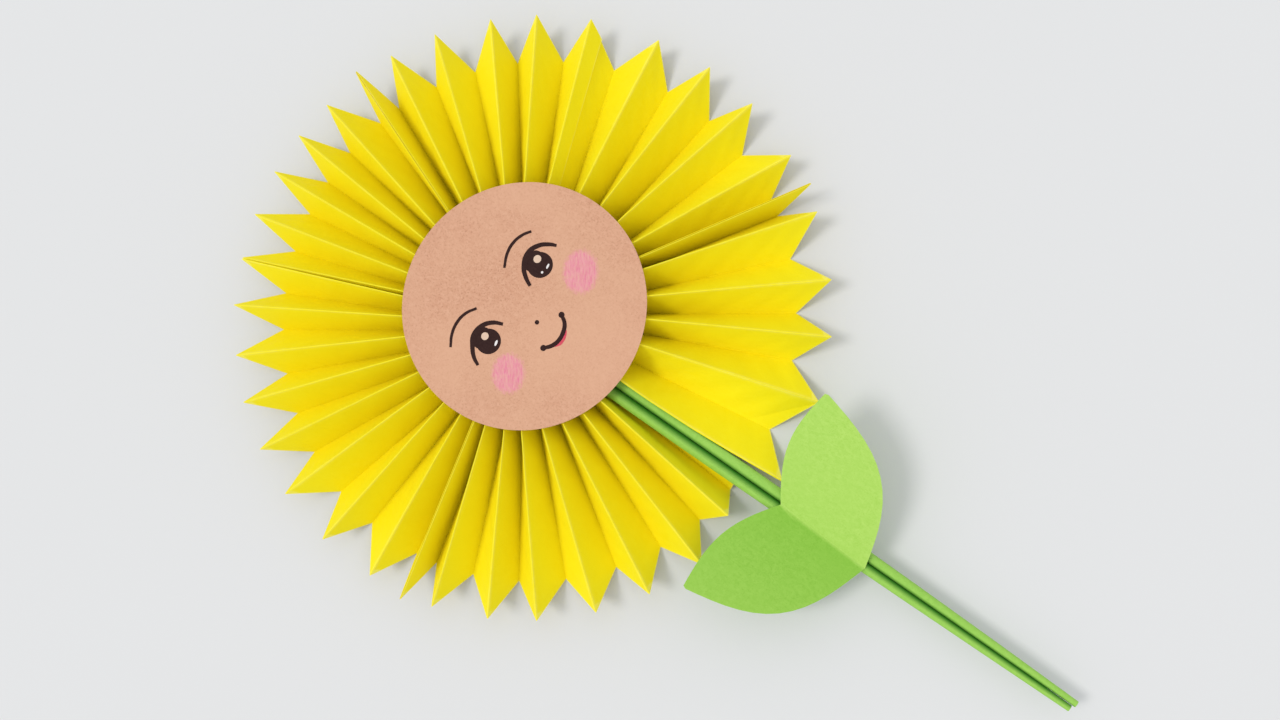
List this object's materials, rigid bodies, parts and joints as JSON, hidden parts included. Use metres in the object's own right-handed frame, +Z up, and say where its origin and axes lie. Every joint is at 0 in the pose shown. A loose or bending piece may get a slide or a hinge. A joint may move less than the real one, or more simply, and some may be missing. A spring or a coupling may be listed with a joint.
{
  "type": "paper sunflower",
  "caption": "Folded paper sunflower: pleated yellow rosette, brown card face disc with a drawn smile, rolled green stem and a folded leaf pair.",
  "frame": {"origin": "middle of the flower's outline on the surface that it lies on", "axes": "+Z up from the surface, out of the drawn face; +Y from the stem's free end towards the rosette's top; +X to the face's right"},
  "size_m": [0.2092, 0.3242, 0.0296],
  "materials": {
    "petal_paper": "matte",
    "kraft_card": "matte",
    "stem_paper": "matte",
    "leaf_paper": "matte"
  },
  "bodies": {
    "root": {"petal_fan_left": "petal_paper", "petal_fan_top": "petal_paper", "petal_fan_right": "petal_paper", "face_disc": "kraft_card", "stem_roll_left": "stem_paper", "stem_roll_right": "stem_paper", "leaf_pair": "leaf_paper"}
  },
  "joints": []
}
